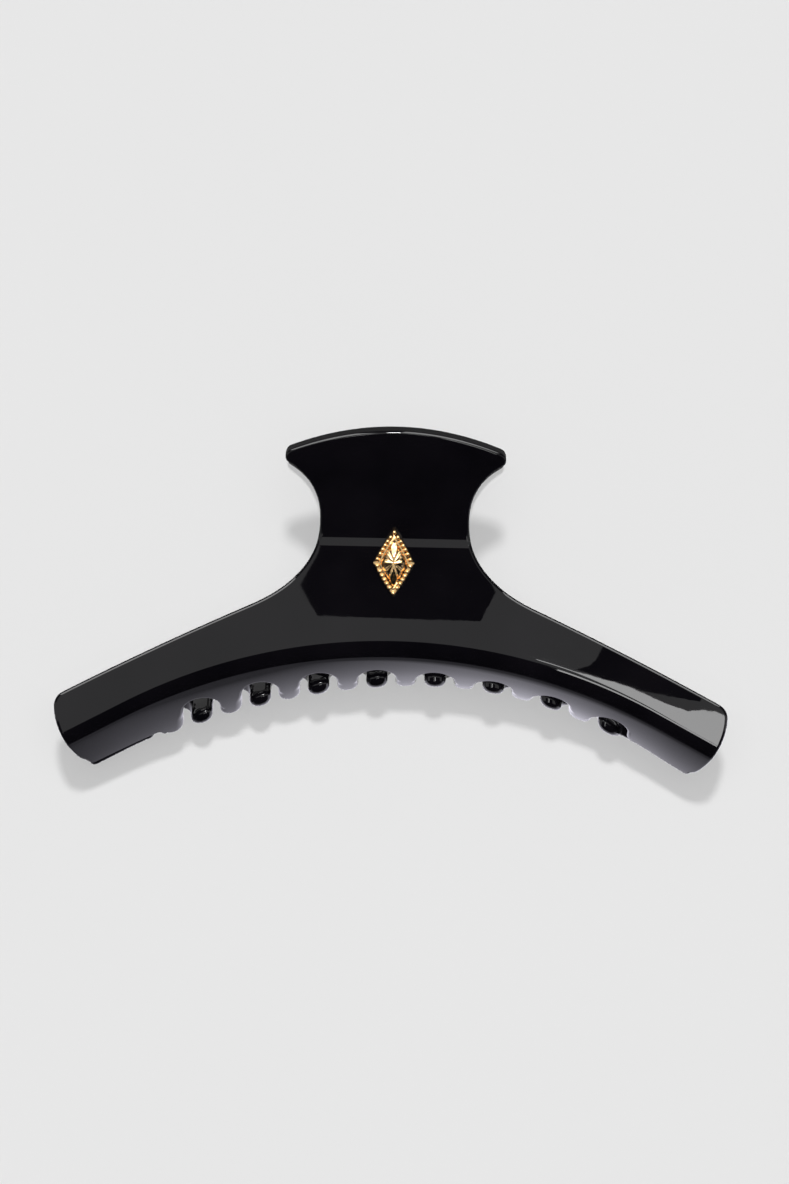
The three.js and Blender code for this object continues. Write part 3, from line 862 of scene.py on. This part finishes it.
# ---- Rivets and pin, turned from profiles of (radius, height) ------------------------------------------
RIVET_DEEP = 2.0
HEAD_AT = RIVET_DEEP + LEAF_GAP + LEAF_T + 0.03
rivet_dome = [(1.75 * math.cos(math.radians(d)), HEAD_AT + 0.14 + 0.68 * math.sin(math.radians(d)))
              for d in range(6, 85, 6)]
rivet_profile = [(0.02, 0), (0.8, 0), (0.9, 0.12), (0.9, HEAD_AT), (1.62, HEAD_AT), (1.74, HEAD_AT + 0.08)]
rivet_profile += rivet_dome + [(0.05, HEAD_AT + 0.80)]
for label, side in (("front", -1), ("back", 1)):
    for where, x in (("left", -RIVET_X), ("right", RIVET_X)):
        p, f = lathe(rivet_profile, 40)
        shell = Shell()
        shell.add(np.stack([p[:, 0] + x, side * (INNER_Y + RIVET_DEEP - p[:, 2]), side * p[:, 1] + RIVET_Z],
                           axis=1), f)
        rivet = weld(shell.build(f"{label}_rivet_dome_{where}"), 40)
        finish_piece(rivet, BRIGHT_STEEL, f"{label}_half", [f"{label}_rivet_{where}"])

HEAD_IN = 7.2
HEAD_OUT = HEAD_IN + 0.6
pin_end = [(1.0, HEAD_IN), (1.55, HEAD_IN), (1.66, HEAD_IN + 0.06), (1.7, HEAD_IN + 0.18),
           (1.68, HEAD_IN + 0.36), (1.58, HEAD_IN + 0.5), (1.4, HEAD_IN + 0.58), (1.1, HEAD_OUT),
           (0.45, HEAD_OUT), (0.32, HEAD_OUT - 0.12), (0.02, HEAD_OUT - 0.16)]
pin_profile = [(r, -h) for r, h in reversed(pin_end)] + [(1.0, -3.0), (1.0, 3.0)] + pin_end
p, f = lathe(pin_profile, 48)
shell = Shell()
shell.add(np.stack([p[:, 2], p[:, 0], p[:, 1] + PIN_Z], axis=1), f)
pin = weld(shell.build("hinge_pin_turned"), 40)
finish_piece(pin, BRIGHT_STEEL, "back_half", ["hinge_pin"])

# ---- Torsion spring ------------------------------------------------------------------------------------
WIRE_R = 0.5
COIL_R = 2.5
COIL_TURNS = 5
COIL_HALF = 3.2
COIL_KNOTS = 72
LEG_LOW, LEG_TOP = 1.6, 4.2
leg_y = INNER_Y - LEAF_GAP - LEAF_T - WIRE_R - 0.04
reach = math.hypot(leg_y, LEG_LOW)
wind_start = math.atan2(LEG_LOW, -leg_y) + math.acos(COIL_R / reach)
wind_end = math.pi - wind_start + 2 * math.pi * (COIL_TURNS + 1)


def spring_leg(side):
    """Knots of a leg, from its free end on the leaf to where it runs into the coil."""
    return [(side * COIL_HALF, side * leg_y, PIN_Z + LEG_TOP),
            (side * COIL_HALF, side * leg_y, PIN_Z + LEG_LOW + 0.9),
            (side * COIL_HALF, side * (leg_y - 0.25), PIN_Z + LEG_LOW + 0.1),
            (side * COIL_HALF, side * (leg_y - 2.4), PIN_Z + LEG_LOW - 1.9)]


knots = spring_leg(-1)
for k in range(COIL_KNOTS + 1):
    v = k / COIL_KNOTS
    a = wind_start + (wind_end - wind_start) * v
    knots.append((COIL_HALF * (2 * v - 1), COIL_R * math.cos(a), PIN_Z + COIL_R * math.sin(a)))
knots += spring_leg(1)[::-1]
knots = np.array(knots)


def catmull(knots, per):
    """Centripetal spline through the knots."""
    ext = np.vstack([2 * knots[0] - knots[1], knots, 2 * knots[-1] - knots[-2]])
    out = []
    for i in range(1, len(ext) - 2):
        p0, p1, p2, p3 = ext[i - 1:i + 3]
        t0 = 0.0
        t1 = t0 + np.linalg.norm(p1 - p0) ** 0.5
        t2 = t1 + np.linalg.norm(p2 - p1) ** 0.5
        t3 = t2 + np.linalg.norm(p3 - p2) ** 0.5
        for t in np.linspace(t1, t2, per, endpoint=False):
            a1 = (t1 - t) / (t1 - t0) * p0 + (t - t0) / (t1 - t0) * p1
            a2 = (t2 - t) / (t2 - t1) * p1 + (t - t1) / (t2 - t1) * p2
            a3 = (t3 - t) / (t3 - t2) * p2 + (t - t2) / (t3 - t2) * p3
            b1 = (t2 - t) / (t2 - t0) * a1 + (t - t0) / (t2 - t0) * a2
            b2 = (t3 - t) / (t3 - t1) * a2 + (t - t1) / (t3 - t1) * a3
            out.append((t2 - t) / (t2 - t1) * b1 + (t - t1) / (t2 - t1) * b2)
    out.append(ext[-2])
    return np.array(out)


def tube(path, radius, sides):
    """Closed wire along a path, with slightly rounded ends."""
    tangents = np.gradient(path, axis=0)
    tangents /= np.linalg.norm(tangents, axis=1, keepdims=True)
    normal = np.cross(tangents[0], (1, 0, 0))
    normal /= np.linalg.norm(normal)
    points = []
    rings = 0
    soft = SOFT_EDGE
    for k, (p, t) in enumerate(zip(path, tangents)):
        normal = normal - t * np.dot(normal, t)
        normal /= np.linalg.norm(normal)
        side = np.cross(t, normal)
        layers = [(0, radius)]
        if k == 0:
            layers = [(0, radius - soft), (soft * 0.3, radius - soft * 0.3), (soft, radius)]
        if k == len(path) - 1:
            layers = [(-soft, radius), (-soft * 0.3, radius - soft * 0.3), (0, radius - soft)]
        for along, r in layers:
            for i in range(sides):
                a = 2 * math.pi * i / sides
                points.append(p + t * along + r * (normal * math.cos(a) + side * math.sin(a)))
            rings += 1
    return np.array(points), ring_faces(rings, sides)


p, f = tube(catmull(knots, 5), WIRE_R, 14)
shell = Shell()
shell.add(p, f)
spring = weld(shell.build("torsion_spring_wire"), 50)
finish_piece(spring, WIRE_STEEL, None, ["torsion_spring"])
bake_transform(spring)

# ---- Gold stud: a plain lozenge with a beaded rim and a fluted dome -----------------------------------
STUD_Z = 40.8
HALF_W, HALF_H = 4.1, 6.6
STUD_BACK = 0.65
FLUTES = 10
DOME_SIDES = 120
BEADS = 26
BEAD_R = 0.43
POST_Z = 2.9


def lozenge(a, w, h):
    """Point of a slightly rounded lozenge of half width w and half height h, at the angle a."""
    reach = (abs(math.cos(a)) + abs(math.sin(a))) ** -0.8
    return w * math.cos(a) * reach, h * math.sin(a) * reach


def stud_rings(profile, count):
    """Stacked lozenge rings of (half width, half height, depth out of the plate)."""
    points = []
    for w, h, depth in profile:
        for i in range(count):
            x, z = lozenge(2 * math.pi * i / count, w, h)
            points.append((x, -PLATE_Y - depth, STUD_Z + z))
    return points, ring_faces(len(profile), count)


def stud_turned(profile, x, out, z):
    """A turned body that stands on the plate, `out` from its face."""
    p, f = lathe(profile, 24)
    return np.stack([p[:, 0] + x, -PLATE_Y - out - p[:, 2], p[:, 1] + STUD_Z + z], axis=1), f


shell = Shell()
rim = [(0.22, 0.22, 0), (0.05, 0.05, 0.08), (0, 0, 0.25), (0.02, 0.02, 0.5), (0.14, 0.14, 0.68),
       (0.34, 0.34, 0.76), (1.05, 1.25, 0.62), (1.25, 1.5, 0.7)]
shell.add(*stud_rings([(HALF_W - w, HALF_H - h, STUD_BACK + depth) for w, h, depth in rim], 96))

# Rings of (half width, half height, depth, ridge): shallow ridges run up the dome and die out at its top.
dome_rings = [(2.62, 4.62, 0.4, 0), (2.62, 4.62, 0.8, 0), (2.5, 4.4, 1.05, 0.4), (2.2, 3.9, 1.4, 1.0),
              (1.75, 3.1, 1.75, 1.0), (1.2, 2.15, 2.0, 0.8), (0.65, 1.15, 2.13, 0.4), (0.2, 0.35, 2.17, 0)]
points = []
for w, h, depth, ridge in dome_rings:
    for i in range(DOME_SIDES):
        a = 2 * math.pi * i / DOME_SIDES
        wave = ridge * math.cos(FLUTES * a)
        grow = 1 + 0.06 * wave
        x, z = lozenge(a, w * grow, h * grow)
        points.append((x, -PLATE_Y - STUD_BACK - depth - 0.1 * wave, STUD_Z + z))
shell.add(points, ring_faces(len(dome_rings), DOME_SIDES))

bead = arc(0, 0, BEAD_R, -40, 80, 8) + [(0.02, BEAD_R)]
for i in range(BEADS):
    x, z = lozenge(2 * math.pi * (i + 0.5) / BEADS, HALF_W - 0.62, HALF_H - 0.75)
    shell.add(*stud_turned(bead, x, STUD_BACK + 0.72, z))
post = [(0.02, -1.8), (0.7, -1.8), (0.8, -1.7), (0.8, STUD_BACK + 0.3)]
for z in (-POST_Z, POST_Z):
    shell.add(*stud_turned(post, 0, 0, z))
stud = weld(shell.build("front_stud_gold"), 32)
finish_piece(stud, GOLD, "front_half", ["front_stud"])

# ---- Floor --------------------------------------------------------------------------------------------
FLOOR_HALF = 4.0
mat, nodes, links, shader, coords = new_material("pale_table")
grain = ramp(nodes, links, noise(nodes, links, coords, 9, 2), 0, 1)
pale = mix_color(nodes, links, grain, (0.795, 0.795, 0.795), (0.80, 0.80, 0.80))
links.new(pale, shader.inputs["Base Color"])
links.new(ramp(nodes, links, noise(nodes, links, coords, 300, 2), 0.7, 0.8), shader.inputs["Roughness"])
shader.inputs["Specular IOR Level"].default_value = 0.0
floor_mesh = bpy.data.meshes.new("floor")
floor_mesh.from_pydata([(-FLOOR_HALF, -FLOOR_HALF, 0), (FLOOR_HALF, -FLOOR_HALF, 0),
                        (FLOOR_HALF, FLOOR_HALF, 0), (-FLOOR_HALF, FLOOR_HALF, 0)], [], [(0, 1, 2, 3)])
floor_mesh.materials.append(mat)
make_object("floor", floor_mesh)

# ---- Camera: square to the front plate, with a slight roll --------------------------------------------
CAMERA_FAR = 1.6
FRAME_TALL = 0.2286
SENSOR_MM = 36
CAMERA_ROLL_DEG = 1.17
AIM = spot(0.25, -PLATE_Y, 35.2)
camera_data = bpy.data.cameras.new("camera")
camera_data.sensor_width = SENSOR_MM
camera_data.lens = SENSOR_MM * CAMERA_FAR / FRAME_TALL
camera_data.clip_end = 100
camera = make_object("camera", camera_data)
roll = math.radians(CAMERA_ROLL_DEG)
back = OUT.normalized()
up = (UP * math.cos(roll) - Vector((1, 0, 0)) * math.sin(roll)).normalized()
right_dir = up.cross(back)
turned = Matrix((right_dir, up, back)).transposed().to_4x4()
camera.matrix_world = Matrix.Translation(AIM + back * CAMERA_FAR) @ turned
scene.camera = camera

# ---- World and suns -----------------------------------------------------------------------------------
# The pale surroundings are weaker as light than as a backdrop, and the gloss mirrors them in between.
WORLD_LIGHT, WORLD_MIRRORED, WORLD_SEEN = 0.06, 0.64, 0.78
world = bpy.data.worlds.new("studio")
world.use_nodes = True
tree = world.node_tree
path = tree.nodes.new("ShaderNodeLightPath")
strength = tree.nodes.new("ShaderNodeMix")
strength.inputs[2].default_value = WORLD_LIGHT
strength.inputs[3].default_value = WORLD_MIRRORED
tree.links.new(path.outputs["Is Glossy Ray"], strength.inputs[0])
seen = tree.nodes.new("ShaderNodeMix")
seen.inputs[3].default_value = WORLD_SEEN
tree.links.new(path.outputs["Is Camera Ray"], seen.inputs[0])
tree.links.new(strength.outputs[0], seen.inputs[2])
tree.nodes["Background"].inputs[0].default_value = (1, 1, 1, 1)
tree.links.new(seen.outputs[0], tree.nodes["Background"].inputs[1])
scene.world = world
scene.view_settings.view_transform = "Standard"
scene.view_settings.look = "None"


def sun(name, rise, energy, angle, shadow):
    """Distant light from the top of the picture, `rise` degrees above the table."""
    light = bpy.data.lights.new(name, "SUN")
    light.energy = energy
    light.angle = math.radians(angle)
    light.use_shadow = shadow
    obj = make_object(name, light)
    obj.rotation_euler = (-math.radians(90 - rise), 0, 0)
    obj.visible_glossy = shadow


sun("key", 74, 0.95, 5, True)
sun("fill", 90, 2.05, 40, False)

# ---- Cards: the studio as the black gloss mirrors it --------------------------------------------------
BLACK_CARD = 0.01
SOFTBOX = 7.5
TOP_BOX = 5.0
SOFTBOX_FAR = 1.35
TOP_BOX_FAR = 1.3
ROOM_FAR = 1.45
NECK_FAR = 0.30
TABLE_CARD_X = 2.5
TABLE_CARD_Z = 0.0004


def card(name, radiance, points, faces=None):
    """A card seen only in reflections, flat unless faces are given."""
    mesh = bpy.data.meshes.new(name)
    mesh.from_pydata([tuple(p) for p in points], [], faces or [tuple(range(len(points)))])
    material = bpy.data.materials.new(name)
    material.use_nodes = True
    tree = material.node_tree
    tree.nodes.clear()
    out = tree.nodes.new("ShaderNodeOutputMaterial")
    glow = tree.nodes.new("ShaderNodeEmission")
    glow.inputs[0].default_value = (1, 1, 1, 1)
    glow.inputs[1].default_value = radiance
    tree.links.new(glow.outputs[0], out.inputs[0])
    mesh.materials.append(material)
    obj = make_object(name, mesh)
    obj.visible_camera = False
    obj.visible_diffuse = False
    obj.visible_shadow = False
    obj.visible_transmission = False
    return tree, glow


def polar(azimuth, tilt, distance):
    """Point `tilt` degrees off the camera's line; azimuth 0 is down the picture, + to the right."""
    a, b = math.radians(azimuth), math.radians(tilt)
    side = right_dir * math.sin(a) - up * math.cos(a)
    return AIM + (back * math.cos(b) + side * math.sin(b)) * distance


def level_points(distance, places):
    """Points in the plane square to the camera's line, from (right, up) in millimetres."""
    return [AIM + back * distance + right_dir * u * MM + up * v * MM for u, v in places]


def sheet_card(name, radiance, rows, distance):
    """Card bent round the clip. A row is two directions, in degrees right and up from the camera's line."""
    points = []
    faces = []
    for k, row in enumerate(rows):
        for right, rise in row:
            azimuth = math.degrees(math.atan2(right, -rise))
            points.append(polar(azimuth, math.hypot(right, rise), distance))
        if k:
            faces.append((2 * k - 2, 2 * k - 1, 2 * k + 1, 2 * k))
    card(name, radiance, points, faces)


def fan(az0, az1, tilt0, tilt1, steps):
    """Rows of a sheet card between two azimuths and two tilts."""
    rows = []
    for k in range(steps + 1):
        az = math.radians(az0 + (az1 - az0) * k / steps)
        rows.append([(tilt * math.sin(az), -tilt * math.cos(az)) for tilt in (tilt0, tilt1)])
    return rows


def table_card(name, radiance, y0, y1):
    """Card just over the table, across the whole view."""
    x, z = TABLE_CARD_X, TABLE_CARD_Z
    return card(name, radiance, [(-x, y0, z), (x, y0, z), (x, y1, z), (-x, y1, z)])


# Black flags beside the camera: the dark middle of the plate and the dark part of the right arm.
card("lens_card", BLACK_CARD, level_points(CAMERA_FAR * 0.999, (
    (-36.7, 2.7), (-29.7, -9.6), (33.2, -11.6), (39.4, 0), (29, 19), (26, 27), (-26, 27), (-29.7, 15))))
card("right_flag", BLACK_CARD, level_points(CAMERA_FAR * 0.999, (
    (86, 60), (84, -8), (81, -20), (78, -26), (76, -28), (70, -30), (95, -38), (118, -42), (121, -38),
    (140, -48), (220, -48), (220, 60))))
# Dark room below and above the picture: the band along the lip and the handle's black.
sheet_card("dark_room", 0.004, fan(-75, 75, 14, 88, 16), ROOM_FAR)
sheet_card("dark_ceiling", 0.03, fan(100, 260, 30, 92, 16), ROOM_FAR)
# Softbox that the right arm mirrors on its plate, and further down in its bend.
sheet_card("right_softbox", SOFTBOX, [
    [(2.10, -1.04), (1.30, -4.00)], [(2.70, -1.20), (1.95, -4.20)], [(3.10, -1.30), (2.40, -4.40)],
    [(3.56, -1.44), (2.90, -4.55)], [(4.06, -1.66), (3.40, -4.75)], [(4.44, -1.79), (3.80, -4.90)],
    [(4.64, -1.77), (4.10, -5.00)], [(4.85, -1.79), (4.30, -5.10)], [(5.70, -2.20), (4.60, -5.20)]],
    SOFTBOX_FAR)
# Nearer strip between the softbox and its tail, so that only the right arm mirrors it.
card("right_softbox_neck", SOFTBOX, level_points(NECK_FAR, ((36, -34), (76, -50), (72, -104), (34, -92))))
sheet_card("right_softbox_tail", SOFTBOX, [
    [(-4.3, -14.0), (-1.9, -14.5)], [(-9.6, -25.0), (-5.4, -25.6)], [(-19.5, -45.4), (-15.0, -46.4)],
    [(-29.0, -63.0), (-24.5, -64.5)], [(-33.0, -70.0), (-28.5, -72.0)]], SOFTBOX_FAR)
# Boxes over the picture's top corners: the thin highlights along the upper edges.
sheet_card("top_left_box", TOP_BOX, fan(-168, -135, 20, 75, 6), TOP_BOX_FAR)
sheet_card("top_right_box", TOP_BOX, fan(140, 176, 20, 75, 6), TOP_BOX_FAR)
# The table behind the clip, as the undersides mirror it, is dim.
table_card("table_shade", 0.12, 0.002, 3.0)

# The table ahead of the clip, as the lips and teeth mirror it, is brightest near the clip and to the left.
tree, glow = table_card("table_glow", 1.0, -3.0, -0.018)
nodes, links = tree.nodes, tree.links
glow.inputs[0].default_value = (0.90, 0.88, 1.0, 1)
place = nodes.new("ShaderNodeTexCoord")
split = nodes.new("ShaderNodeSeparateXYZ")
links.new(place.outputs["Object"], split.inputs[0])
near = ramp(nodes, links, split.outputs["Y"], 0.35, 1.5, -0.10, -0.028)
aside = ramp(nodes, links, split.outputs["X"], 0.3, 1.1, -0.055, -0.015)
beside = ramp(nodes, links, split.outputs["Y"], 1.0, 0.75, -0.030, -0.020)
both = multiply(nodes, links, near, aside)
links.new(multiply(nodes, links, both, beside), glow.inputs[1])
